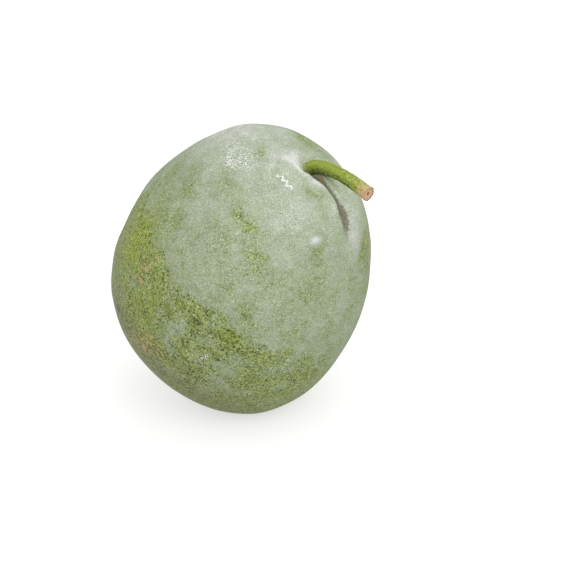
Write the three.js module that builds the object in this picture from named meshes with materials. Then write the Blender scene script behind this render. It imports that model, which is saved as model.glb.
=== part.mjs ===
// A whole white pumpkin, the round wax gourd, resting on the flat side that it settled on,
// with its cut stem bent over the shoulder. Millimetres, +Z up, the origin under the middle.
import * as THREE from "three";

// The fruit is drawn about its own axis, from the stem's socket to the blossom scar.
const GIRTH_RADIUS = 99;
const STEM_REACH = 115;
const BLOSSOM_REACH = 104;
// Fullness 2 is an ellipse: less slopes the shoulders, more squares them.
const STEM_FULLNESS = 1.9;
const BLOSSOM_FULLNESS = 2.4;
// The axis leans over to the right and is turned a little towards the front.
const LEAN = 33;
const TURN = -31;
const SETTLED_DEPTH = 2.5;

// Places on the skin are a polar angle from the stem and a longitude round the axis, in degrees.
// The shoulder that the lean lifts is the fullest, and dips a little next to the stem. The belly
// sags below the girth towards the ground, and a small lobe stands beside the furrow.
const CROWN = { polar: 45, longitude: 145, spread: 25, height: 8 };
const SHOULDER = { polar: 31, longitude: 178, spread: 8, height: 1.8 };
const SADDLE = { polar: 14, longitude: 150, spread: 9, height: -2.2 };
const BELLY = { polar: 140, longitude: -12, spread: 25, height: 8.5 };
const UNDERSIDE = { polar: 126, longitude: -25, spread: 12, height: 3 };
const HIP = { polar: 100, longitude: 0, spread: 20, height: 4 };
const LOBE = { polar: 25, longitude: 25, spread: 9, height: 3 };
const BLOSSOM_DIMPLE = { polar: 180, longitude: 0, spread: 5, height: -2.5 };
const SWELLINGS = [CROWN, SHOULDER, SADDLE, BELLY, UNDERSIDE, HIP, LOBE, BLOSSOM_DIMPLE];

// The socket is a steep-sided hollow round the stem, shallow behind and deeper and wider in
// front, where a collar stands beside it.
const SOCKET_DEPTH = 2.2;
const SOCKET_DEEPENING = 3.8;
const SOCKET_SPREAD = 3.3;
const SOCKET_WIDENING = 1.4;
const SOCKET_FRONT = -75;
const COLLAR_HEIGHT = 2;
const COLLAR_POLAR = 8;
const COLLAR_WIDTH = 1.9;
const COLLAR_FRONT = -105;

// The furrow runs from the socket down the shoulder and dies out, with a raised bank each side.
const FURROW_DEPTH = 4.2;
const FURROW_FADE = 27;
const FURROW_BOW = 0.012;
const FURROW_BOW_MIDDLE = 18.5;
const FURROW_OFFSET = -1.3;
const FURROW_WIDTH = 1.2;
const FURROW_WIDENING = 0.8;
const FURROW_WIDENS = { from: 16, to: 23 };
const BANK_DISTANCE = 2.5;
const BANK_WIDTH = 1.5;
const LEFT_BANK = 1.2;
const RIGHT_BANK = 0.8;

// The stem stands on a small flat seat in the socket and bends over the shoulder.
const SEAT_RADIUS = 7;
const SEAT_HEIGHT = 108.5;
const GAP = 0.3;
const STEM_RADIUS = 5;
const ROOT_FLARE = 0.8;
const ROOT_LENGTH = 0.12;
const TIP_SWELL = 0.5;
const RIDGES = 5;
const RIDGE_HEIGHT = 0.3;
// It rises straight out of the seat, then two handles bend it over towards its tip.
const STEM_ROOT = new THREE.Vector3(0, 0, SEAT_HEIGHT + GAP);
const STEM_RISES = new THREE.Vector3(0, 0, 119);
const STEM_BENDS = new THREE.Vector3(18.5, -1, 128);
const STEM_TIP = new THREE.Vector3(47, 5, 126);
// The knife went through at a slant, so the cut end looks out to the front as well.
const CUT_SLANT = 30;
const CUT_FACES = new THREE.Vector3(0.1, -0.8, 0.6);

const MERIDIANS = 72;
const RINGS = 43;
const RING_CROWDING = 1.3;
const STEM_SIDES = 20;
const STEM_STEPS = 26;

function bell(x) {
  return Math.exp(-0.5 * x * x);
}

function direction(polar, longitude) {
  const point = new THREE.Vector3().setFromSphericalCoords(1, polar, longitude);
  return new THREE.Vector3(point.z, point.x, point.y);
}

// How far a swelling lifts the skin in this direction; a dimple is a swelling below zero.
function lift(swelling, outward) {
  const middle = direction(
    THREE.MathUtils.degToRad(swelling.polar),
    THREE.MathUtils.degToRad(swelling.longitude),
  );
  const away = THREE.MathUtils.radToDeg(outward.angleTo(middle));
  return swelling.height * bell(away / swelling.spread);
}

// One at the longitude that is asked for, falling to nought on the far side.
function facing(longitude, front) {
  return 0.5 + 0.5 * Math.cos(longitude - THREE.MathUtils.degToRad(front));
}

// The hollow round the stem and the collar beside it.
function socketLift(polar, longitude) {
  const away = THREE.MathUtils.radToDeg(polar);
  const inFront = facing(longitude, SOCKET_FRONT);
  const spread = SOCKET_SPREAD + SOCKET_WIDENING * inFront;
  const hollow = (SOCKET_DEPTH + SOCKET_DEEPENING * inFront) * bell((away / spread) ** 2);
  const collar = COLLAR_HEIGHT * bell((away - COLLAR_POLAR) / COLLAR_WIDTH);
  return collar * facing(longitude, COLLAR_FRONT) - hollow;
}

// Near the stem the skin is laid out flat, in degrees: ahead runs down the furrow, aside across it.
function furrowLift(polar, longitude) {
  const ahead = THREE.MathUtils.radToDeg(polar) * Math.cos(longitude);
  const aside = THREE.MathUtils.radToDeg(polar) * Math.sin(longitude);
  const middle = FURROW_OFFSET - FURROW_BOW * (ahead - FURROW_BOW_MIDDLE) ** 2;
  const widened = THREE.MathUtils.smoothstep(ahead, FURROW_WIDENS.from, FURROW_WIDENS.to);
  const across = (aside - middle) / (FURROW_WIDTH + FURROW_WIDENING * widened);
  const strength = THREE.MathUtils.smoothstep(ahead, 0, 5) * bell(Math.SQRT2 * ahead / FURROW_FADE);
  const leftBank = LEFT_BANK * bell((across + BANK_DISTANCE) / BANK_WIDTH);
  const rightBank = RIGHT_BANK * bell((across - BANK_DISTANCE) / BANK_WIDTH);
  return strength * (leftBank + rightBank - FURROW_DEPTH * bell(across));
}

// Distance from the fruit's centre to its skin: a rounded body, its swellings, socket and furrow.
function skinRadius(polar, longitude) {
  const outward = direction(polar, longitude);
  const atStem = outward.z > 0;
  const fullness = atStem ? STEM_FULLNESS : BLOSSOM_FULLNESS;
  const across = Math.sin(polar) / GIRTH_RADIUS;
  const along = Math.abs(outward.z) / (atStem ? STEM_REACH : BLOSSOM_REACH);
  let radius = (across ** fullness + along ** fullness) ** (-1 / fullness);
  for (const swelling of SWELLINGS) {
    radius += lift(swelling, outward);
  }
  return radius + socketLift(polar, longitude) + furrowLift(polar, longitude);
}

const lean = new THREE.Quaternion().setFromEuler(
  new THREE.Euler(0, THREE.MathUtils.degToRad(LEAN), THREE.MathUtils.degToRad(TURN), "ZYX"),
);

// A globe of meridians and rings, closer together near the stem, moved out to the skin, leaned
// over and flattened where it rests.
function fruitGeometry() {
  const geometry = new THREE.SphereGeometry(1, MERIDIANS, RINGS);
  geometry.rotateX(Math.PI / 2);
  const position = geometry.attributes.position;
  const point = new THREE.Vector3();
  for (let i = 0; i < position.count; i += 1) {
    point.fromBufferAttribute(position, i);
    const evenly = Math.atan2(Math.hypot(point.x, point.y), point.z) / Math.PI;
    const polar = Math.PI * evenly ** RING_CROWDING;
    const longitude = Math.atan2(point.y, point.x);
    point.copy(direction(polar, longitude)).multiplyScalar(skinRadius(polar, longitude));
    if (point.z > 0 && Math.hypot(point.x, point.y) < SEAT_RADIUS) {
      point.z = SEAT_HEIGHT;
    }
    position.setXYZ(i, point.x, point.y, point.z);
  }
  geometry.applyQuaternion(lean);
  geometry.computeBoundingBox();
  const ground = geometry.boundingBox.min.z + SETTLED_DEPTH;
  for (let i = 0; i < position.count; i += 1) {
    position.setZ(i, Math.max(position.getZ(i), ground));
  }
  geometry.computeVertexNormals();
  return geometry;
}

// A closed cylinder bent along the stem's path, flared at its root, with five low ridges.
function stemGeometry() {
  const path = new THREE.CubicBezierCurve3(STEM_ROOT, STEM_RISES, STEM_BENDS, STEM_TIP);
  const frames = path.computeFrenetFrames(STEM_STEPS);
  const geometry = new THREE.CylinderGeometry(1, 1, 1, STEM_SIDES, STEM_STEPS);
  geometry.rotateX(Math.PI / 2);
  const position = geometry.attributes.position;
  const spoke = new THREE.Vector3();
  const slant = Math.tan(THREE.MathUtils.degToRad(CUT_SLANT));
  for (let i = 0; i < position.count; i += 1) {
    const along = position.getZ(i) + 0.5;
    const step = Math.round(along * STEM_STEPS);
    const angle = Math.atan2(position.getY(i), position.getX(i));
    const reach = Math.hypot(position.getX(i), position.getY(i));
    const ridge = RIDGE_HEIGHT * Math.cos(RIDGES * angle);
    const flare = ROOT_FLARE * Math.exp(-along / ROOT_LENGTH);
    const tip = THREE.MathUtils.smoothstep(along, 0.8, 1);
    const radius = reach * (STEM_RADIUS + ridge + flare + TIP_SWELL * tip);
    spoke.copy(frames.normals[step]).multiplyScalar(radius * Math.cos(angle));
    spoke.addScaledVector(frames.binormals[step], radius * Math.sin(angle));
    const shortened = slant * tip * spoke.dot(CUT_FACES);
    const point = path.getPointAt(along).add(spoke);
    point.addScaledVector(frames.tangents[step], -shortened);
    position.setXYZ(i, point.x, point.y, point.z);
  }
  geometry.computeVertexNormals();
  return geometry;
}

function waxySkin() {
  return new THREE.MeshStandardMaterial({ color: 0xa0ac8a, roughness: 0.7, metalness: 0 });
}

function greenStem() {
  return new THREE.MeshStandardMaterial({ color: 0x8fa03c, roughness: 0.65, metalness: 0 });
}

const fruit = new THREE.Mesh(fruitGeometry(), waxySkin());
fruit.name = "fruit";

const stem = new THREE.Mesh(stemGeometry(), greenStem());
stem.name = "stem";
stem.quaternion.copy(lean);

const pumpkin = new THREE.Group();
pumpkin.add(fruit, stem);
const box = new THREE.Box3().setFromObject(pumpkin, true);
const middle = box.getCenter(new THREE.Vector3());
pumpkin.position.set(-middle.x, -middle.y, -box.min.z);

const part = new THREE.Group();
part.add(pumpkin);

export default part;
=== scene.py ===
import math

import bpy
import numpy as np
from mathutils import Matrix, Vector


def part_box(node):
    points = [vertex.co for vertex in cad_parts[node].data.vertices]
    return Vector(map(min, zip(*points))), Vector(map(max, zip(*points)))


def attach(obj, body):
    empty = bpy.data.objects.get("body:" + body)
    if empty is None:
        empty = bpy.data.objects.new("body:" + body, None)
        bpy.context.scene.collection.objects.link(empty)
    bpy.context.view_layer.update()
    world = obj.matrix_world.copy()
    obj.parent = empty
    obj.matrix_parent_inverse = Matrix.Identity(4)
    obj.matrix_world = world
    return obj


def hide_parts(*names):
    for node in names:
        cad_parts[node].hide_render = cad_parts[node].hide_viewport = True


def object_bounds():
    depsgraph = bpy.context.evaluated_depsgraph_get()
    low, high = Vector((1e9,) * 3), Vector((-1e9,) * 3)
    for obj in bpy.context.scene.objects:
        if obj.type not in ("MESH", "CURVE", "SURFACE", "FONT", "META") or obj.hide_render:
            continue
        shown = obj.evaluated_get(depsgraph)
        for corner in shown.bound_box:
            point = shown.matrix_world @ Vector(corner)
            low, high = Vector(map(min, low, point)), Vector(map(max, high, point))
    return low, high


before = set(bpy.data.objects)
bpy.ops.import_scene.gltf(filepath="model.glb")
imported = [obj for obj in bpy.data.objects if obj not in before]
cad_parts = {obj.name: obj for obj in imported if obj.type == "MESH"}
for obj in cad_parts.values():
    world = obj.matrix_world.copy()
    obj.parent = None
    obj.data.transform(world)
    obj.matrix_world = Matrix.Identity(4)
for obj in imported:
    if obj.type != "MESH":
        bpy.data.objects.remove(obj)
cad_low, cad_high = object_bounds()

# ---------------------------------------------------------------------------------------------
# The camera looks down a little on the fruit from the side that shows its furrow. A long lens
# keeps the shape honest, and the fruit stands to the left of the middle.

VIEW_ELEVATION = math.radians(24)
VIEW_DISTANCE = 1.092
AIM_BESIDE_MIDDLE = Vector((0.0386, -0.0013, -0.0193))

camera_data = bpy.data.cameras.new("camera")
camera_data.lens = 85
camera_data.sensor_width = 36
camera = bpy.data.objects.new("camera", camera_data)
bpy.context.scene.collection.objects.link(camera)
bpy.context.scene.camera = camera

aim = (cad_low + cad_high) / 2 + AIM_BESIDE_MIDDLE
towards_camera = Vector((0, -math.cos(VIEW_ELEVATION), math.sin(VIEW_ELEVATION)))
camera.location = aim + towards_camera * VIEW_DISTANCE
camera.rotation_mode = "QUATERNION"
camera.rotation_quaternion = (-towards_camera).to_track_quat("-Z", "Y")

# ---------------------------------------------------------------------------------------------
# The fruit is one grown body: a firm green rind under a dusty coat of pale wax, the bloom. It
# hung by the stem, lay on its left side, where the bloom has rubbed away, and now rests flat.

GIRTH_RADIUS = 0.099
STEM_REACH = 0.115
BLOSSOM_REACH = 0.104
STEM_FULLNESS = 1.9
BLOSSOM_FULLNESS = 2.4
LEAN = math.radians(33)
TURN = math.radians(-31)
# Polar angle from the stem, longitude and spread in degrees, then how far the skin is lifted.
SWELLINGS = {
    "crown": (45, 145, 25, 0.008),
    "shoulder": (31, 178, 8, 0.0018),
    "saddle": (14, 150, 9, -0.0022),
    "belly": (140, -12, 25, 0.0085),
    "underside": (126, -25, 12, 0.003),
    "hip": (100, 0, 20, 0.004),
    "lobe": (25, 25, 9, 0.003),
    "blossom_dimple": (180, 0, 5, -0.0025),
    "scar_in_front": (31.6, -39, 1.3, 0.0008),
    "scar_behind": (58, 128, 1.2, 0.0008),
}
# The hollow round the stem is deeper and wider in front, and a collar stands beside it there.
SOCKET_DEPTH = 0.0022
SOCKET_DEEPENING = 0.0038
SOCKET_SPREAD = 3.3
SOCKET_WIDENING = 1.4
SOCKET_FRONT = -75
COLLAR_HEIGHT = 0.0020
COLLAR_POLAR = 8.0
COLLAR_WIDTH = 1.9
COLLAR_FRONT = -105
WRINKLE_HEIGHT = 0.00020
WRINKLES = 11
FURROW_DEPTH = 0.0042
FURROW_FADE = 27
FURROW_BOW = 0.012
FURROW_BOW_MIDDLE = 18.5
FURROW_OFFSET = -1.3
LEFT_BANK = 0.0012
RIGHT_BANK = 0.0008
SETTLED_ROUNDING = 0.0012
MERIDIANS = 400
RINGS = 240
RING_CROWDING = 1.25


def bell(x):
    """The bell curve: one at zero, falling off with the square of x."""
    return np.exp(-0.5 * np.square(x))


def ease(x, start, end):
    """Nought before start, one after end, and a smooth S between them."""
    share = np.clip((x - start) / (end - start), 0, 1)
    return share * share * (3 - 2 * share)


def direction(polar, longitude):
    """The unit vector at a polar angle from the stem and a longitude round it, in degrees."""
    polar, longitude = np.radians(polar), np.radians(longitude)
    return np.stack(
        [np.sin(polar) * np.cos(longitude), np.sin(polar) * np.sin(longitude), np.cos(polar)],
        axis=-1,
    )


def turned_from(longitude, middle):
    """Degrees from one longitude to another, the short way round, from -180 to 180."""
    return (longitude - middle + 180) % 360 - 180


def facing(longitude, front):
    """One at the longitude that is asked for, falling to nought on the far side."""
    return 0.5 + 0.5 * np.cos(np.radians(longitude - front))


def ripple(outward, pitch, seed):
    """A smooth random field of about unit height over the skin: twelve sine waves of one pitch,
    each along its own random direction, added up and evened out."""
    draw = np.random.default_rng(seed)
    field = np.zeros(outward.shape[:-1])
    for _ in range(12):
        heading = draw.normal(size=3)
        heading *= pitch / np.linalg.norm(heading)
        field += np.sin(outward @ heading + draw.uniform(0, 2 * np.pi))
    return field / math.sqrt(6)


def body_radius(outward):
    """From the fruit's centre to the plain body: the stem half and the blossom half are each a
    superellipse of their own reach and fullness, and they share the girth."""
    across = np.hypot(outward[..., 0], outward[..., 1]) / GIRTH_RADIUS
    stem_half = outward[..., 2] > 0
    fullness = np.where(stem_half, STEM_FULLNESS, BLOSSOM_FULLNESS)
    along = np.abs(outward[..., 2]) / np.where(stem_half, STEM_REACH, BLOSSOM_REACH)
    return (across**fullness + along**fullness) ** (-1 / fullness)


def swelling_lift(outward):
    """Each swelling adds its height times a bell of the angle away from its middle."""
    lift = np.zeros(outward.shape[:-1])
    for polar, longitude, spread, height in SWELLINGS.values():
        away = np.degrees(np.arccos(np.clip(outward @ direction(polar, longitude), -1, 1)))
        lift += height * bell(away / spread)
    return lift


def socket_lift(polar, longitude):
    """A steep hollow round the stem, deep in front and shallow behind, a collar that is highest in
    front of it, and small wrinkles where the skin is drawn in."""
    in_front = facing(longitude, SOCKET_FRONT)
    spread = SOCKET_SPREAD + SOCKET_WIDENING * in_front
    hollow = (SOCKET_DEPTH + SOCKET_DEEPENING * in_front) * bell((polar / spread) ** 2)
    on_left = facing(longitude, COLLAR_FRONT)
    collar = COLLAR_HEIGHT * on_left * bell((polar - COLLAR_POLAR) / COLLAR_WIDTH)
    wrinkle = WRINKLE_HEIGHT * np.cos(np.radians(WRINKLES * longitude + 9 * polar))
    return collar + wrinkle * bell((polar - 6) / 2.5) - hollow


def furrow_place(polar, longitude):
    """Where a point lies by the furrow: degrees ahead along it, and widths across its middle,
    which starts at the stem and bows to one side as a parabola does."""
    ahead = polar * np.cos(np.radians(longitude))
    aside = polar * np.sin(np.radians(longitude))
    middle = FURROW_OFFSET - FURROW_BOW * (ahead - FURROW_BOW_MIDDLE) ** 2
    middle = middle * ease(ahead, -3, 7)
    width = 0.75 + 1.0 * ease(ahead, 16, 23) + 0.7 * (1 - ease(ahead, 5, 10))
    return ahead, (aside - middle) / width


def furrow_lift(polar, longitude):
    """A narrow groove from the socket down the shoulder, bell-shaped across, with a bank each
    side; it fades as a bell of the way ahead."""
    ahead, across = furrow_place(polar, longitude)
    strength = ease(ahead, 0, 4) * bell(math.sqrt(2) * ahead / FURROW_FADE)
    banks = LEFT_BANK * bell((across + 2.6) / 1.5) + RIGHT_BANK * bell((across - 2.4) / 1.5)
    return strength * (banks - FURROW_DEPTH * bell(across))


def lean_over(points):
    """Turns points from the fruit's own upright axis to the way that it rests."""
    x, y, z = np.moveaxis(points, -1, 0)
    x, z = x * math.cos(LEAN) + z * math.sin(LEAN), z * math.cos(LEAN) - x * math.sin(LEAN)
    x, y = x * math.cos(TURN) - y * math.sin(TURN), x * math.sin(TURN) + y * math.cos(TURN)
    return np.stack([x, y, z], axis=-1)


def settle(height):
    """Presses what would lie below the ground up to it, with a rounded edge: half the sum of the
    height and its size, where the size never quite falls to nought."""
    pressed = 0.5 * (height + np.sqrt(height**2 + SETTLED_ROUNDING**2))
    return pressed - pressed.min()


def make_surface(name, rows, first_pole, last_pole):
    """A closed mesh from rows of points that each go once round, counter-clockwise seen from the
    first pole: squares between the rows, and a fan of triangles to the pole at each end."""
    row_count, round_count = rows.shape[:2]
    points = np.concatenate([rows.reshape(-1, 3), [first_pole], [last_pole]])
    here = np.arange(round_count)
    after = (here + 1) % round_count
    start = np.arange(row_count - 1)[:, None] * round_count
    squares = np.stack(
        [start + here, start + round_count + here, start + round_count + after, start + after],
        axis=-1,
    ).reshape(-1, 4)
    first, last, end_row = len(points) - 2, len(points) - 1, (row_count - 1) * round_count
    fans = np.concatenate(
        [
            np.stack([np.full(round_count, first), here, after], axis=-1),
            np.stack([end_row + here, np.full(round_count, last), end_row + after], axis=-1),
        ]
    )
    mesh = bpy.data.meshes.new(name)
    mesh.from_pydata(points, [], squares.tolist() + fans.tolist())
    mesh.polygons.foreach_set("use_smooth", np.ones(len(mesh.polygons), dtype=bool))
    mesh.update()
    piece = bpy.data.objects.new(name, mesh)
    bpy.context.scene.collection.objects.link(piece)
    return piece


def paint(piece, name, values):
    """Stores one number a point in the mesh, for the material to read under that name."""
    layer = piece.data.attributes.new(name, "FLOAT", "POINT")
    layer.data.foreach_set("value", np.asarray(values, dtype=np.float32).ravel())


ring_polar = 180 * (np.arange(1, RINGS + 1) / (RINGS + 1)) ** RING_CROWDING
polar, longitude = np.meshgrid(ring_polar, np.arange(MERIDIANS) * 360 / MERIDIANS, indexing="ij")
# The two poles are carried along as two more points, after the rings.
polar = np.append(polar.ravel(), [0.0, 180.0])
longitude = np.append(longitude.ravel(), [0.0, 0.0])
longitude = turned_from(longitude, 0)
outward = direction(polar, longitude)

smooth_radius = body_radius(outward) + swelling_lift(outward)
smooth_radius += socket_lift(polar, longitude) + furrow_lift(polar, longitude)
# Slow waves in the rind, under half a millimetre high.
unevenness = 0.00030 * ripple(outward, 9, seed=3) + 0.00014 * ripple(outward, 23, seed=4)
fruit_points = lean_over(outward * (smooth_radius + unevenness)[:, None])

# The body is where the CAD fruit is: the same middle, and pressed up to the same ground.
cad_fruit_low, cad_fruit_high = (np.array(corner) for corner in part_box("fruit"))
leaned_low, leaned_high = fruit_points.min(axis=0), fruit_points.max(axis=0)
fruit_centre = (cad_fruit_low + cad_fruit_high - leaned_low - leaned_high) / 2
fruit_centre[2] = cad_fruit_high[2] - leaned_high[2]
fruit_points += fruit_centre
fruit_points[:, 2] = cad_fruit_low[2] + settle(fruit_points[:, 2] - cad_fruit_low[2])

fruit = make_surface(
    "fruit_skin",
    fruit_points[:-2].reshape(RINGS, MERIDIANS, 3),
    fruit_points[-2],
    fruit_points[-1],
)


# Where the marks lie on the rind: a polar angle and a longitude, then half the length down the
# fruit, half the width round it, a turn of the long way and a strength, all angles in degrees.
WORN_SPOTS = [
    (84, -130, 10, 9, 0, 0.2),
    (76, -127, 3, 6, 0, 0.03),
    (66, -124, 5, 3.5, 0, 0.11),
    (56, -121, 4, 2, 0, 0.04),
    (51, -133, 1.8, 5, 0, 0.15),
    (47, -142, 2, 4, 0, 0.06),
    (56, -147, 2, 6, 20, 0.08),
    (72, -140, 6, 7, 0, 0.06),
    (33, -118, 2.5, 6, 0, 0.11),
    (37.5, -94, 5.5, 1.7, 70, 0.3),
    (40, -87, 2, 2.5, 0, 0.14),
    (38, -78, 1.4, 2, 0, 0.14),
    (47, -77, 1.8, 3, 0, 0.14),
    (52, -69, 6, 2.5, 50, 0.1),
    (36, -67, 2, 6, -15, 0.06),
    (14.7, -43, 1.6, 2.2, 0, 0.22),
    (19.5, -151, 2.2, 3, 0, 0.22),
    (29.3, -17, 1.5, 1.5, 0, 0.07),
    (34, -37, 2.5, 3, 0, 0.08),
    (44, -38, 11, 5, 0, 0.06),
    (54, -33, 2.5, 2, 0, 0.06),
    (42, 14, 5, 4, 0, 0.28),
    (40, 26, 6, 5, 0, 0.26),
    (21, 122, 6, 4, 0, 0.3),
    (79, -89, 2, 4, 0, 0.16),
    (82, -80, 2.5, 2.5, 0, 0.15),
    (88, -78, 5, 2, 0, 0.14),
    (73, -60, 4, 3, 0, 0.11),
    (83, -62, 3, 3, 0, 0.15),
    (96, -60, 2, 5, 0, 0.12),
    (99, -75, 3, 4, 0, 0.12),
    (100, -104, 12, 6, 0, 0.13),
    (111, -82, 3, 5, 0, 0.1),
    (111, -66, 2.5, 5, 0, 0.12),
    (114, -96, 4, 6, 0, 0.12),
    (40, 95, 6, 5, 20, 0.22),
    (62, 105, 8, 4, 30, 0.24),
    (76, 150, 5, 9, -20, 0.2),
    (58, 170, 5, 6, 0, 0.16),
    (70, 25, 9, 4, 10, 0.16),
    (92, 62, 6, 9, 0, 0.2),
    (45, -142, 2, 4, 0, 0.06),
    (88, -57, 3, 3, 0, 0.15),
    (103, -47, 4, 3, 0, 0.14),
    (33, -34, 1.5, 2, 0, 0.08),
]
THICK_BLOOM = [
    (38, 178, 13, 14, 0, 0.28),
    (10, -145, 4, 5, 0, 0.24),
    (24, -80, 6, 8, 0, 0.12),
    (32, 4, 5, 4, 0, 0.26),
    (20, 5, 4, 4, 0, 0.16),
    (41, -57, 4, 5, 0, 0.1),
    (60, -112, 5, 4, 0, 0.06),
    (82, -142, 8, 2.5, 0, 0.2),
    (81, -96, 3, 4, 0, 0.14),
    (89, -91, 3, 5, 0, 0.1),
    (88, -70, 4, 3, 0, 0.13),
    (99, -85, 6, 2, 0, 0.17),
    (93, -53, 4, 4, 0, 0.16),
    (98, -119, 4, 6, 0, 0.12),
    (106, -57, 5, 4, 0, 0.18),
    (104, -88, 5, 4, 0, 0.05),
    (118, -72, 2, 6, 0, 0.08),
    (50, 60, 9, 7, 0, 0.14),
    (80, 120, 8, 10, 0, 0.14),
    (95, -115, 4, 3, 0, 0.1),
    (92, -80, 2, 2, 0, 0.14),
    (27, -61, 3, 4, 0, 0.1),
    (26, -126, 3, 4, 0, 0.1),
    (12, -83, 3, 4, 0, 0.1),
    (43.5, -109, 3, 4, 0, 0.08),
    (7, -125, 2, 2, 0, 0.3),
]
# Where the bloom is as thick but duller, because the rind under it is darker; the spots low on
# the fruit make it darker towards the bottom. A strength below nought is painted light: a brighter
# place where the skin lies in the stem's shade.
DULL_SPOTS_AND_PAINTED_LIGHT = [
    (55, -101, 4, 4, 0, 0.7),
    (47, -107, 1.6, 4, 0, 0.7),
    (52, -88, 2, 2, 0, 0.7),
    (48, -96, 3, 3, 0, 0.4),
    (56, -97, 2, 3, 0, 0.4),
    (50, -140, 5, 6, 0, 0.5),
    (66, -150, 6, 6, 0, 0.6),
    (36, -114, 3, 6, 0, 0.4),
    (40, -22, 2, 2, 0, 0.7),
    (46, 4, 6, 5, 0, 0.3),
    (53, 17, 8, 4, 0, 1.4),
    # These spots lie low on the fruit and make it darker towards the bottom.
    (104, -142, 6, 6, 0, 1.2),
    (121, -112, 5, 14, 0, 1.4),
    (124, -78, 3, 4, 0, 1.2),
    (123, -58, 4, 8, 0, 0.7),
    (116, -112, 4, 6, 0, 0.6),
    (36, -67, 2, 6, -15, 0.5),
    (28.5, -39, 1, 3, 0, 0.8),
    (23, -90, 4, 5, 0, 0.4),
    (90, -147, 7, 4, 0, 0.6),
    (15, -44, 2, 3, 0, 0.5),
    # Painted light: brighter skin under the stem, in its shade.
    (13, 18, 5, 8, 0, -3.8),
    (37, -37, 3, 3, 0, 0.9),
    (44, -38, 10, 5, 0, 0.7),
    # Painted light: the lobe beside the stem, in the stem's shade.
    (25, 25, 6, 5, 0, -1.0),
]
WAX_FLECKS = [
    (31, -155, 3, 3, 0, 0.75),
    (31, -138, 3, 3, 0, 0.75),
    (24, -137, 5, 4, 0, 0.6),
    (9, -140, 3, 3, 0, 0.7),
    (42, -148, 1.2, 1.2, 0, 0.7),
    (101, -67, 3, 1, -20, 1.1),
    (103, -48, 1.2, 2, 0, 0.9),
    (66, 92, 2, 4, 0, 0.8),
    (48, 148, 4, 2, 0, 0.7),
]
HEALED_SCARS = [(31.6, -39, 2.1, 1.2, 112, 0.7), (58, 128, 1.0, 1.4, 0, 0.4)]
ROOT_CORK = [(6.5, -10, 0.8, 1.6, 40, 1.0)]
SCUFFS = [
    (85, -111.5, 5, 2.2, 0, 1.0),
    (75, -104, 1.6, 2.5, 0, 0.5),
    (91, -110, 2, 1.5, 0, 0.6),
    (71, -104, 0.6, 2.5, 30, 0.7),
    (104, -119, 3, 3, 0, 0.5),
    (113, -92, 4.5, 5.5, 0, 0.85),
    (122, -98, 3, 5, 0, 0.5),
    (118, -70, 2, 6, 0, 0.4),
    (127, -92, 2, 6, 0, 0.5),
    (100, 140, 5, 8, 0, 0.6),
    (84, 78, 3, 4, 0, 0.7),
]
DARK_DOTS = [
    (77, -92, 2, 3, 0, 1.3),
    (82, -80, 3, 2, 0, 1.6),
    (88, -77, 4, 2, 0, 1.5),
    (85, -64, 3, 3, 0, 1.4),
    (88, -60, 2, 4, 0, 1.5),
    (95, -60, 2, 4, 0, 1.4),
    (111, -66, 2, 5, 0, 1.5),
    (111, -83, 3, 4, 0, 1.2),
    (119, -66, 3, 4, 0, 1.2),
    (117, -115, 5, 4, 0, 1.2),
    (100, -90, 16, 24, 0, 0.15),
    (112, 150, 6, 12, 0, 0.4),
    (110, 60, 6, 12, 0, 0.4),
    (30, -11, 3, 2, 0, 0.8),
]
YELLOWED_SPOTS = [
    (85, -129, 11, 9, 0, 1.0),
    (68, -124, 3, 3, 0, 0.1),
    (98, -106, 12, 5, 0, 0.5),
    (112, -93, 5, 6, 0, 0.5),
    (83, -62, 3, 3, 0, 0.3),
    (78, 155, 8, 9, 0, 0.4),
]
# The middle of the side that it lay on, low on the fruit, is darker and browner.
BROWNED_SPOTS = [
    (136, -105, 17, 22, 0, 1.0),
    (122, -52, 7, 14, 0, 0.5),
    (104, -135, 5, 4, 0, 0.5),
]


def spots(outward, marks):
    """The strengths of oval spots, added up: each is a bell of the distance from its middle,
    counted in half lengths down the fruit and half widths round it."""
    total = np.zeros(outward.shape[:-1])
    for polar_at, longitude_at, length, width, turn, strength in marks:
        middle = direction(polar_at, longitude_at)
        down = direction(polar_at + 90, longitude_at)
        beside = np.cross(middle, down)
        south = np.degrees(np.arctan2(outward @ down, outward @ middle))
        east = np.degrees(np.arctan2(outward @ beside, outward @ middle))
        turn = math.radians(turn)
        along = (south * math.cos(turn) + east * math.sin(turn)) / length
        across = (east * math.cos(turn) - south * math.sin(turn)) / width
        total += strength * bell(np.hypot(along, across))
    return total


# Wandering by a few degrees gives the spots ragged edges.
wander = np.stack([ripple(outward, 26, seed=10 + axis) for axis in range(3)], axis=-1)
wander += 0.6 * np.stack([ripple(outward, 61, seed=20 + axis) for axis in range(3)], axis=-1)
wander += 0.4 * np.stack([ripple(outward, 117, seed=26 + axis) for axis in range(3)], axis=-1)
ragged = outward + 0.018 * wander
ragged /= np.linalg.norm(ragged, axis=-1, keepdims=True)
ragged_polar = np.degrees(np.arccos(np.clip(ragged[:, 2], -1, 1)))

# The side that it lay on is rubbed bare from an edge that slants round the girth. The edge is
# sharp there, and lower and softer round the other side.
WORN_SIDE = -85
RUB_POLAR = 77
from_worn_side = turned_from(longitude, WORN_SIDE)
rub_edge = RUB_POLAR + 0.09 * np.clip(from_worn_side, -40, 60)
rub_edge = rub_edge + 20 * ease(np.abs(from_worn_side), 55, 110)
edge_width = 1 + 5 * ease(np.abs(from_worn_side), 50, 110)
rubbed = ease((ragged_polar - rub_edge) / edge_width, -0.8, 1.2)
mottle = ripple(outward, 30, seed=30) + 0.8 * ripple(outward, 75, seed=31)
streaked = outward * [1, 1, 2.2]
left_over = 0.29 + 0.04 * ripple(streaked, 17, seed=32) + 0.04 * ripple(streaked, 45, seed=33)
untouched = 0.62 - 0.10 * ease(ragged_polar, 25, 60)
bloom = untouched * (1 - rubbed) + left_over * rubbed + 0.03 * mottle
bloom += spots(ragged, THICK_BLOOM) - spots(ragged, WORN_SPOTS)

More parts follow.
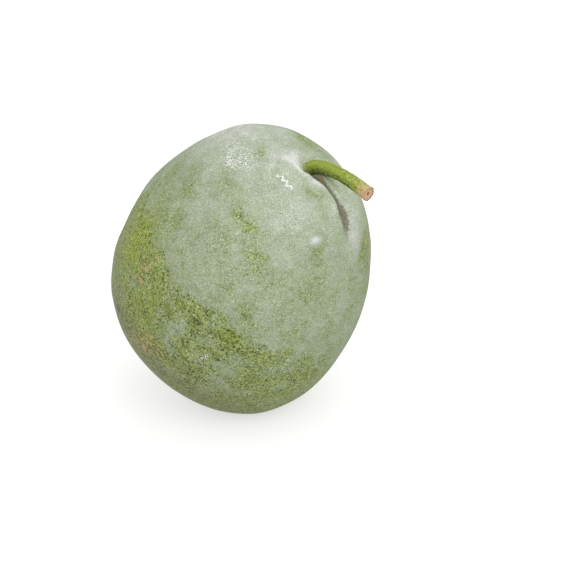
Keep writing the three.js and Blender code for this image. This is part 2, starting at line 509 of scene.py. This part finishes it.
# The lip is a pale crest: round the left of the socket, then along the furrow's left bank.
ahead, across = furrow_place(polar, longitude)
lip = bell(turned_from(longitude, COLLAR_FRONT) / 38) * bell((polar - 8.2) / 0.8)
along_bank = ease(ahead, 2, 7) * (1 - ease(ahead, 7, 14))
lip = np.maximum(lip, bell((across + 3.0) / 0.9) * along_bank)
paint(fruit, "bloom", bloom + 0.35 * lip + spots(outward, HEALED_SCARS))
tone = 1 + 0.014 * ripple(outward, 38, seed=34) + 0.012 * ripple(outward, 85, seed=35)
# The tone holds the dull spots, and painted light where the stem's shade falls on the skin.
paint(fruit, "tone", tone - 0.09 * spots(ragged, DULL_SPOTS_AND_PAINTED_LIGHT))
paint(fruit, "scuff", spots(ragged, SCUFFS) + spots(outward, ROOT_CORK))

# A fingernail's scratch is a wavy white line.
SCRATCH_POLAR = 16.2
SCRATCH_HALF_WIDTH = 0.45
SCRATCH_START = -107
SCRATCH_END = -79
scratch_waves = np.radians(40 * (longitude - SCRATCH_START))
scratch_middle = SCRATCH_POLAR + 0.7 * np.sin(scratch_waves) + 0.3 * np.cos(0.37 * scratch_waves)
scratch = bell((polar - scratch_middle) / SCRATCH_HALF_WIDTH)
scratch *= (longitude > SCRATCH_START) & (longitude < SCRATCH_END)
paint(fruit, "flecks", spots(ragged, WAX_FLECKS) + 2.2 * scratch)

# Darker along the furrow's floor, in the front of the socket and on the corky blossom scar; in
# the socket, under the stem root, the darkening is painted shade.
furrow_floor = 1.18 * bell((across - 0.1) / 1.2) * ease(ahead, 1, 4)
furrow_floor = furrow_floor * (1 - ease(ahead, 24, 38))
painted_socket_shade = bell(polar / 3.6) * (0.65 + 0.35 * np.cos(np.radians(longitude + 60)))
blossom_cork = ease(polar, 174, 177)
paint(fruit, "painted_shade_and_dark_marks", np.maximum.reduce([furrow_floor, 0.75 * painted_socket_shade, blossom_cork]))
paint(fruit, "dotted", spots(ragged, DARK_DOTS))
paint(fruit, "yellowed", spots(ragged, YELLOWED_SPOTS))
paint(fruit, "browned", spots(ragged, BROWNED_SPOTS))


def shade(tree, kind, settings=None, **inputs):
    """Adds a node to a material: sockets given a node's output are linked, others are set."""
    node = tree.nodes.new(kind)
    for setting, value in (settings or {}).items():
        setattr(node, setting, value)
    for socket, value in inputs.items():
        place = node.inputs[int(socket[1:]) if socket[0] == "_" else socket.replace("_", " ")]
        if isinstance(value, bpy.types.NodeSocket):
            tree.links.new(value, place)
        else:
            place.default_value = value
    return node


def reckon(tree, operation, first, second=0.0, third=0.0):
    """One step of arithmetic in a material."""
    node = shade(tree, "ShaderNodeMath", {"operation": operation}, _0=first, _1=second, _2=third)
    return node.outputs[0]


def painted(tree, name):
    """Reads what paint() stored in the mesh."""
    return shade(tree, "ShaderNodeAttribute", {"attribute_name": name}).outputs["Fac"]


def spread_between(tree, value, low, high):
    """Nought below low, one above high, and smooth between them."""
    node = shade(
        tree,
        "ShaderNodeMapRange",
        {"interpolation_type": "SMOOTHSTEP"},
        Value=value,
        From_Min=low,
        From_Max=high,
    )
    return node.outputs["Result"]


def mixed(tree, share, below, above):
    """One colour laid over another by a share."""
    node = tree.nodes.new("ShaderNodeMix")
    node.data_type = "RGBA"
    for place, value in ((0, share), (6, below), (7, above)):
        if isinstance(value, bpy.types.NodeSocket):
            tree.links.new(value, node.inputs[place])
        else:
            node.inputs[place].default_value = value
    return node.outputs[2]


def colour(red, green, blue):
    """A colour given as it is seen, in 255ths, as the light that it sends back."""
    seen = np.array([red, green, blue]) / 255
    light = np.where(seen <= 0.04045, seen / 12.92, ((seen + 0.055) / 1.055) ** 2.4)
    return (*light.tolist(), 1.0)


def new_material(name):
    """An empty material with its shader and its output."""
    material = bpy.data.materials.new(name)
    material.use_nodes = True
    material.node_tree.nodes.clear()
    tree = material.node_tree
    shader = tree.nodes.new("ShaderNodeBsdfPrincipled")
    shade(tree, "ShaderNodeOutputMaterial", Surface=shader.outputs[0])
    return material, tree, shader


def ramp(tree, value, stops):
    """A run of colours: each stop is a place from 0 to 1 and a colour."""
    node = shade(tree, "ShaderNodeValToRGB", Fac=value)
    elements = node.color_ramp.elements
    while len(elements) < len(stops):
        elements.new(0.5)
    for element, (place, shown) in zip(elements, stops):
        element.position = place
        element.color = shown
    return node.outputs[0]


def waxy_rind():
    """Green rind under wax: how thick the wax lies, in blotches and grains, picks the colour from
    bare green to dusty white. Fine powder, short strokes that run round the fruit and the tone make
    it lighter and darker; the tone adds painted light where the stem shades the skin. Flecks,
    scuffs, cork, the darker furrow, painted shade in the socket, and dots lie over that."""
    material, tree, shader = new_material("waxy_rind")
    place = shade(tree, "ShaderNodeTexCoord").outputs["Object"]
    noise = "ShaderNodeTexNoise"
    blotches = shade(tree, noise, Vector=place, Scale=170, Detail=4, Roughness=0.65).outputs[0]
    grains = shade(tree, noise, Vector=place, Scale=700, Detail=1, Roughness=0.5).outputs[0]
    clumps = shade(tree, noise, Vector=place, Scale=380, Detail=0).outputs[0]
    drawn_out = shade(
        tree,
        "ShaderNodeMapping",
        {"vector_type": "TEXTURE"},
        Vector=place,
        Rotation=(0, LEAN, TURN),
        Scale=(1, 1, 0.4),
    ).outputs[0]
    strokes = shade(tree, noise, Vector=drawn_out, Scale=210, Detail=2, Distortion=0.8).outputs[0]
    specks = shade(tree, noise, Vector=place, Scale=1250, Detail=0).outputs[0]
    bare = spread_between(tree, painted(tree, "bloom"), 0.6, 0.25)

    patches = shade(tree, noise, Vector=place, Scale=75, Detail=5, Roughness=0.6, Distortion=1.0)
    patches = spread_between(tree, patches.outputs[0], 0.42, 0.60)
    patched = reckon(tree, "MULTIPLY_ADD", bare, 0.12, 0.05)
    patched = reckon(tree, "MULTIPLY", reckon(tree, "SUBTRACT", patches, 0.5), patched)

    patchy = reckon(tree, "MULTIPLY_ADD", bare, 0.06, 0.12)
    wax = reckon(tree, "MULTIPLY", reckon(tree, "SUBTRACT", blotches, 0.5), patchy)
    wax = reckon(tree, "ADD", reckon(tree, "ADD", wax, patched), painted(tree, "bloom"))
    wax = reckon(tree, "MULTIPLY_ADD", reckon(tree, "SUBTRACT", grains, 0.5), 0.06, wax)
    shown = ramp(
        tree,
        wax,
        [
            (0.0, colour(122, 136, 64)),
            (0.25, colour(139, 152, 92)),
            (0.45, colour(151, 163, 125)),
            (0.65, colour(170, 180, 156)),
            (0.85, colour(191, 196, 182)),
            (1.0, colour(214, 216, 207)),
        ],
    )
    yellowed = reckon(tree, "MULTIPLY", painted(tree, "yellowed"), 0.85)
    shown = mixed(tree, yellowed, shown, colour(147, 159, 60))
    brown = reckon(tree, "MULTIPLY", painted(tree, "browned"), reckon(tree, "ADD", grains, 0.2))
    shown = mixed(tree, brown, shown, colour(134, 131, 96))

    powder = reckon(tree, "SUBTRACT", reckon(tree, "MULTIPLY_ADD", specks, 2.0, grains), 1.5)
    powder = reckon(tree, "MULTIPLY", powder, reckon(tree, "MULTIPLY_ADD", bare, 0.85, 0.45))
    clumped = reckon(tree, "MULTIPLY", reckon(tree, "SUBTRACT", clumps, 0.5), bare)
    powder = reckon(tree, "MULTIPLY_ADD", clumped, 1.0, reckon(tree, "ADD", powder, 1.0))
    stroked = reckon(tree, "MULTIPLY_ADD", bare, 0.25, 0.25)
    powder = reckon(tree, "MULTIPLY_ADD", reckon(tree, "SUBTRACT", strokes, 0.5), stroked, powder)
    # The tone brightens the skin in the stem's shade, as painted light, and darkens the dull spots.
    powder = reckon(tree, "MULTIPLY", powder, painted(tree, "tone"))
    lit = shade(tree, "ShaderNodeVectorMath", {"operation": "SCALE"}, Vector=shown, Scale=powder)
    shown = lit.outputs[0]

    flecks = reckon(tree, "MULTIPLY_ADD", grains, 2.6, painted(tree, "flecks"))
    flecks = reckon(tree, "MULTIPLY_ADD", specks, 1.8, flecks)
    shown = mixed(tree, spread_between(tree, flecks, 2.9, 3.5), shown, colour(228, 230, 225))

    scuffing = reckon(tree, "MULTIPLY_ADD", grains, 2.0, painted(tree, "scuff"))
    scuffing = reckon(tree, "MULTIPLY_ADD", clumps, 2.0, scuffing)
    scuffing = spread_between(tree, scuffing, 2.75, 3.15)
    marked = spread_between(tree, painted(tree, "scuff"), 0.05, 0.5)
    scuffing = reckon(tree, "MULTIPLY", scuffing, marked)
    shown = mixed(tree, reckon(tree, "MULTIPLY", scuffing, 0.8), shown, colour(196, 164, 116))

    # Painted shade in the front of the socket, with the darker furrow floor and blossom cork.
    painted_shade_and_dark_marks = reckon(tree, "MULTIPLY_ADD", grains, 1.4, painted(tree, "painted_shade_and_dark_marks"))
    painted_shade_and_dark_marks = reckon(tree, "MULTIPLY", spread_between(tree, painted_shade_and_dark_marks, 1.05, 1.75), 0.8)
    shown = mixed(tree, painted_shade_and_dark_marks, shown, colour(92, 86, 54))

    voronoi = "ShaderNodeTexVoronoi"
    cells = shade(tree, voronoi, Vector=place, Scale=420)
    chance = shade(tree, "ShaderNodeSeparateColor", Color=cells.outputs["Color"]).outputs
    small = reckon(tree, "LESS_THAN", cells.outputs["Distance"], 0.30)
    pale = reckon(tree, "GREATER_THAN", chance[0], 0.86)
    pale = reckon(tree, "MULTIPLY", reckon(tree, "MULTIPLY", pale, small), bare)
    shown = mixed(tree, reckon(tree, "MULTIPLY", pale, 0.28), shown, colour(184, 196, 130))
    dark = reckon(tree, "MULTIPLY_ADD", painted(tree, "dotted"), -0.45, 1.0)
    dark = reckon(tree, "GREATER_THAN", chance[1], dark)
    wider = reckon(tree, "LESS_THAN", cells.outputs["Distance"], 0.42)
    dark = reckon(tree, "MULTIPLY", reckon(tree, "MULTIPLY", dark, wider), bare)
    dark = reckon(tree, "MULTIPLY", dark, 0.75)
    shown = mixed(tree, dark, shown, colour(54, 62, 32))

    tree.links.new(shown, shader.inputs["Base Color"])
    dusty = spread_between(tree, wax, 0.1, 0.6)
    roughness = reckon(tree, "MULTIPLY_ADD", dusty, 0.25, 0.55)
    tree.links.new(roughness, shader.inputs["Roughness"])
    shader.inputs["Specular IOR Level"].default_value = 0.3
    bump = shade(tree, "ShaderNodeBump", Strength=0.25, Distance=0.0004, Height=wax)
    tree.links.new(bump.outputs[0], shader.inputs["Normal"])
    return material


fruit.data.materials.append(waxy_rind())
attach(fruit, "root")
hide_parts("fruit")

# ---------------------------------------------------------------------------------------------
# The stem is a short length of green stalk, still on the fruit. It rises out of the socket,
# bends over the shoulder, and was cut through at a slant, so the end is dry and tan.

SEAT_HEIGHT = 0.1085
STEM_RADIUS = 0.005
STEM_ROOT = (0, 0, SEAT_HEIGHT)
STEM_RISES = (0, 0, 0.119)
STEM_BENDS = (0.0185, -0.001, 0.128)
STEM_TIP = (0.047, 0.005, 0.126)
CUT_SLANT = math.radians(30)
CUT_FACES = (0.1, -0.8, 0.6)
RIDGES = 5
RIDGE_TURN = 0.6
RIDGE_HEIGHT = 0.00022
TIP_STARTS = 0.8
TIP_SWELL = 0.0005
SIDE_ROWS = 170
CUT_ROWS = 50
STEM_SIDES = 120


def stem_curve(along):
    """The stem's middle line and its heading: a cubic curve that leaves the root towards its
    first handle and comes into the tip from its second one."""
    handles = np.array([STEM_ROOT, STEM_RISES, STEM_BENDS, STEM_TIP], dtype=float)
    root, rises, bends, tip = handles
    t = along[:, None]
    s = 1 - t
    middle = s**3 * root + 3 * s**2 * t * rises + 3 * s * t**2 * bends + t**3 * tip
    heading = s**2 * (rises - root) + 2 * s * t * (bends - rises) + t**2 * (tip - bends)
    return middle, heading / np.linalg.norm(heading, axis=1, keepdims=True)


def stem_points(along, angle, reach):
    """Points of the stalk: out from its middle line by a radius that flares at the root, swells
    at the tip and has five ridges, with fine grain between them and low knots along it. The tip
    is sheared to the slant of the cut."""
    middle, heading = stem_curve(along)
    sideways = np.array([0.0, 1.0, 0.0]) - heading[:, 1:2] * heading
    sideways /= np.linalg.norm(sideways, axis=1, keepdims=True)
    upwards = np.cross(heading, sideways)
    flare = 0.0016 * np.exp(-along / 0.06) + 0.0006 * np.exp(-along / 0.16)
    towards_tip = ease(along, TIP_STARTS, 1)
    swell = TIP_SWELL * towards_tip
    ridge = RIDGE_HEIGHT * np.cos(RIDGES * angle + RIDGE_TURN)
    ridge = ridge + 0.00010 * np.cos(11 * angle + 9 * along)
    knots = 0.00012 * np.sin(23 * along + 2 * angle) + 0.00008 * np.sin(61 * along - 3 * angle)
    radius = reach * (STEM_RADIUS + flare + swell + ridge + knots)
    spoke = sideways * (radius * np.cos(angle))[:, None]
    spoke = spoke + upwards * (radius * np.sin(angle))[:, None]
    slanted = math.tan(CUT_SLANT) * towards_tip * (spoke @ np.array(CUT_FACES))
    return middle + spoke - heading * slanted[:, None]


def stem_rows():
    """The rows of the stalk: up its side, over a narrow rounded rim, and in across the cut end,
    which has sunk a little round the pith as it dried."""
    side = np.linspace(0, 1, SIDE_ROWS)
    inward = np.linspace(0, 1, CUT_ROWS + 2)[1:-1]
    along = np.append(side, np.ones(CUT_ROWS))
    reach = np.append(np.ones(len(side)), 1 - inward)
    angle = np.arange(STEM_SIDES) * 2 * np.pi / STEM_SIDES
    grid_along = np.repeat(along, STEM_SIDES)
    grid_reach = np.repeat(reach, STEM_SIDES)
    grid_angle = np.tile(angle, len(along))
    points = stem_points(grid_along, grid_angle, grid_reach)
    cut = np.where(grid_reach < 1, 1.0, 0.0)
    inwards = 1 - grid_reach
    sunk = cut * (0.0006 * ease(inwards, 0, 0.25) + 0.0022 * ease(inwards, 0.80, 0.92))
    points -= stem_curve(np.array([1.0]))[1] * sunk[:, None]
    return points, grid_along, grid_angle, grid_reach


stem_grid, stem_along, stem_angle, stem_reach = stem_rows()
stem_grid = lean_over(stem_grid) + fruit_centre
stem_low = lean_over(np.array(STEM_ROOT)) + fruit_centre
stem_end = stem_grid[-STEM_SIDES:].mean(axis=0)
stem = make_surface("stem_stalk", stem_grid.reshape(-1, STEM_SIDES, 3), stem_low, stem_end)
paint(stem, "along", np.append(stem_along, [0, 1]))
paint(stem, "reach", np.append(stem_reach, [0, 0]))
# The painted shade lies on the side that turns away from the light, at this angle round the
# stalk, and a painted highlight, a pale edge, runs along the other side.
SHADED_SIDE = math.radians(235)
PAINTED_HIGHLIGHT_SIDE = math.radians(58)
stem_turn = np.append(stem_angle, [0, 0])
paint(stem, "underside", 0.5 + 0.5 * np.cos(stem_turn - SHADED_SIDE))
paint(stem, "painted_highlight", bell(np.sin((stem_turn - PAINTED_HIGHLIGHT_SIDE) / 2) / math.sin(math.radians(7))))
paint(stem, "groove", 0.5 - 0.5 * np.cos(RIDGES * stem_turn + RIDGE_TURN))


def green_stalk():
    """Yellow-green stalk with darker grooves, pale dots, a painted highlight along its lit edge, and
    painted shade, dark and speckled, on the side away from the light. It is dusted pale at the root
    and dries to tan towards the cut. On the cut: a dark rim, tan wood with a ring of vessels, and a
    dark pith."""
    material, tree, shader = new_material("green_stalk")
    place = shade(tree, "ShaderNodeTexCoord").outputs["Object"]
    noise = "ShaderNodeTexNoise"
    blotches = shade(tree, noise, Vector=place, Scale=300, Detail=3).outputs[0]
    grains = shade(tree, noise, Vector=place, Scale=1100, Detail=2, Roughness=0.7).outputs[0]
    cells = shade(tree, "ShaderNodeTexVoronoi", Vector=place, Scale=620)
    chance = shade(tree, "ShaderNodeSeparateColor", Color=cells.outputs["Color"]).outputs
    small = reckon(tree, "LESS_THAN", cells.outputs["Distance"], 0.34)
    along = painted(tree, "along")

    tone = reckon(tree, "MULTIPLY_ADD", grains, 0.5, -0.05)
    tone = reckon(tree, "MULTIPLY_ADD", blotches, 0.5, tone)
    shown = ramp(
        tree,
        tone,
        [(0.2, colour(116, 138, 42)), (0.5, colour(144, 160, 56)), (0.8, colour(168, 182, 88))],
    )
    grooves = spread_between(tree, painted(tree, "groove"), 0.45, 1.0)
    grooves = reckon(tree, "MULTIPLY", grooves, 0.2)
    shown = mixed(tree, grooves, shown, colour(74, 92, 30))

    # Painted highlight: a pale line along the lit upper edge of the stalk.
    far_enough = spread_between(tree, along, 0.3, 0.6)
    painted_highlight = reckon(tree, "MULTIPLY", painted(tree, "painted_highlight"), far_enough)
    shown = mixed(tree, reckon(tree, "MULTIPLY", painted_highlight, 0.6), shown, colour(196, 196, 156))

    crowding = reckon(tree, "MULTIPLY_ADD", spread_between(tree, along, 0.3, 0.9), -0.55, 0.97)
    crowding = reckon(tree, "MULTIPLY_ADD", spread_between(tree, along, 0.2, 0.0), -0.35, crowding)
    pale = reckon(tree, "MULTIPLY", reckon(tree, "GREATER_THAN", chance[0], crowding), small)
    shown = mixed(tree, reckon(tree, "MULTIPLY", pale, 0.7), shown, colour(208, 206, 128))

    dusted = reckon(tree, "MULTIPLY_ADD", grains, -0.12, along)
    dusted = reckon(tree, "MULTIPLY", spread_between(tree, dusted, 0.11, -0.07), 0.8)
    shown = mixed(tree, dusted, shown, colour(182, 192, 152))

    # Painted shade: the side away from the light is darkened and speckled with near-black dots.
    shaded = reckon(tree, "MULTIPLY_ADD", grains, 0.8, painted(tree, "underside"))
    shaded = reckon(tree, "MULTIPLY_ADD", blotches, 0.6, shaded)
    shaded = reckon(tree, "MULTIPLY_ADD", spread_between(tree, along, 0.6, 1.0), -0.15, shaded)
    dark = reckon(tree, "MULTIPLY", spread_between(tree, shaded, 1.40, 1.60), 0.65)
    shown = mixed(tree, dark, shown, colour(50, 58, 22))
    dotted = spread_between(tree, shaded, 1.25, 1.5)
    dotted = reckon(tree, "GREATER_THAN", chance[1], reckon(tree, "MULTIPLY_ADD", dotted, -0.65, 0.97))
    dotted = reckon(tree, "MULTIPLY", reckon(tree, "MULTIPLY", dotted, small), 0.8)
    shown = mixed(tree, dotted, shown, colour(34, 38, 18))

    drying = reckon(tree, "MULTIPLY_ADD", grains, 0.5, along)
    drying = reckon(tree, "MULTIPLY_ADD", blotches, 0.3, drying)
    drying = reckon(tree, "MULTIPLY", spread_between(tree, drying, 1.26, 1.40), 0.85)
    shown = mixed(tree, drying, shown, colour(210, 180, 138))

    reach = painted(tree, "reach")
    on_cut = reckon(tree, "LESS_THAN", reach, 0.999)
    wood = reckon(tree, "MULTIPLY_ADD", grains, 0.3, reckon(tree, "SUBTRACT", reach, 0.15))
    cut = ramp(
        tree,
        wood,
        [
            (0.10, colour(58, 44, 30)),
            (0.20, colour(172, 124, 88)),
            (0.40, colour(226, 188, 156)),
            (0.62, colour(206, 156, 114)),
            (0.80, colour(226, 190, 156)),
            (0.92, colour(96, 72, 46)),
        ],
    )
    shown = mixed(tree, on_cut, shown, cut)
    tree.links.new(shown, shader.inputs["Base Color"])
    shader.inputs["Roughness"].default_value = 0.6
    shader.inputs["Specular IOR Level"].default_value = 0.35
    bump = shade(tree, "ShaderNodeBump", Strength=0.4, Distance=0.0004, Height=grains)
    tree.links.new(bump.outputs[0], shader.inputs["Normal"])
    return material


stem.data.materials.append(green_stalk())
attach(stem, "root")
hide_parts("stem")

# ---------------------------------------------------------------------------------------------
# The floor is one plain pale sheet, at the height that the fruit rests on. Seen straight on it
# glows to white where light falls on it, and it keeps the fruit's soft shadow.

FLOOR_HALF = 6.0
FLOOR_SHADE = 0.6
FLOOR_GLOW = 0.58
floor_mesh = bpy.data.meshes.new("floor")
floor_corners = [
    (-FLOOR_HALF, -FLOOR_HALF, 0),
    (FLOOR_HALF, -FLOOR_HALF, 0),
    (FLOOR_HALF, FLOOR_HALF, 0),
    (-FLOOR_HALF, FLOOR_HALF, 0),
]
floor_mesh.from_pydata(floor_corners, [], [(0, 1, 2, 3)])
floor = bpy.data.objects.new("floor", floor_mesh)
bpy.context.scene.collection.objects.link(floor)


def seen_directly(tree):
    """One for what the camera sees, straight or in gloss or glass, and nought for other light."""
    path = shade(tree, "ShaderNodeLightPath").outputs
    direct = reckon(tree, "MAXIMUM", path["Is Camera Ray"], path["Is Glossy Ray"])
    return reckon(tree, "MAXIMUM", direct, path["Is Transmission Ray"])


floor_material, floor_tree, floor_shader = new_material("pale_floor")
floor_shader.inputs["Base Color"].default_value = (FLOOR_SHADE, FLOOR_SHADE, FLOOR_SHADE, 1)
floor_shader.inputs["Roughness"].default_value = 0.9
floor_shader.inputs["Specular IOR Level"].default_value = 0
floor_shader.inputs["Emission Color"].default_value = (1, 1, 1, 1)
glow = reckon(floor_tree, "MULTIPLY", seen_directly(floor_tree), FLOOR_GLOW)
floor_tree.links.new(glow, floor_shader.inputs["Emission Strength"])
floor_mesh.materials.append(floor_material)

# ---------------------------------------------------------------------------------------------
# Soft studio light: an even pale surround, one wide softbox in front, a little to the right, and
# a weaker one overhead. Together they show a colour about as it is written.

SURROUND_LEVEL = 0.72

world = bpy.data.worlds.new("studio")
world.use_nodes = True
world_tree = world.node_tree
world_tree.nodes.clear()
surround = shade(world_tree, "ShaderNodeBackground", Color=(1, 1, 1, 1), Strength=SURROUND_LEVEL)
white = shade(world_tree, "ShaderNodeBackground", Color=(1, 1, 1, 1), Strength=1.0)
switch = shade(
    world_tree,
    "ShaderNodeMixShader",
    _0=seen_directly(world_tree),
    _1=surround.outputs[0],
    _2=white.outputs[0],
)
shade(world_tree, "ShaderNodeOutputWorld", Surface=switch.outputs[0])
bpy.context.scene.world = world
bpy.context.scene.view_settings.view_transform = "Standard"


def softbox(name, towards, distance, side, power):
    """A square lamp that looks at the fruit's middle from a given direction."""
    lamp = bpy.data.lights.new(name, "AREA")
    lamp.size = side
    lamp.energy = power
    box = bpy.data.objects.new(name, lamp)
    bpy.context.scene.collection.objects.link(box)
    towards = Vector(towards).normalized()
    box.location = (cad_low + cad_high) / 2 + towards * distance
    box.rotation_mode = "QUATERNION"
    box.rotation_quaternion = (-towards).to_track_quat("-Z", "Y")


softbox("key_softbox", (0.3, -1.0, 0.5), 1.6, 1.8, 11.5)
softbox("top_softbox", (0.2, 0.1, 1.0), 1.6, 1.6, 5.0)
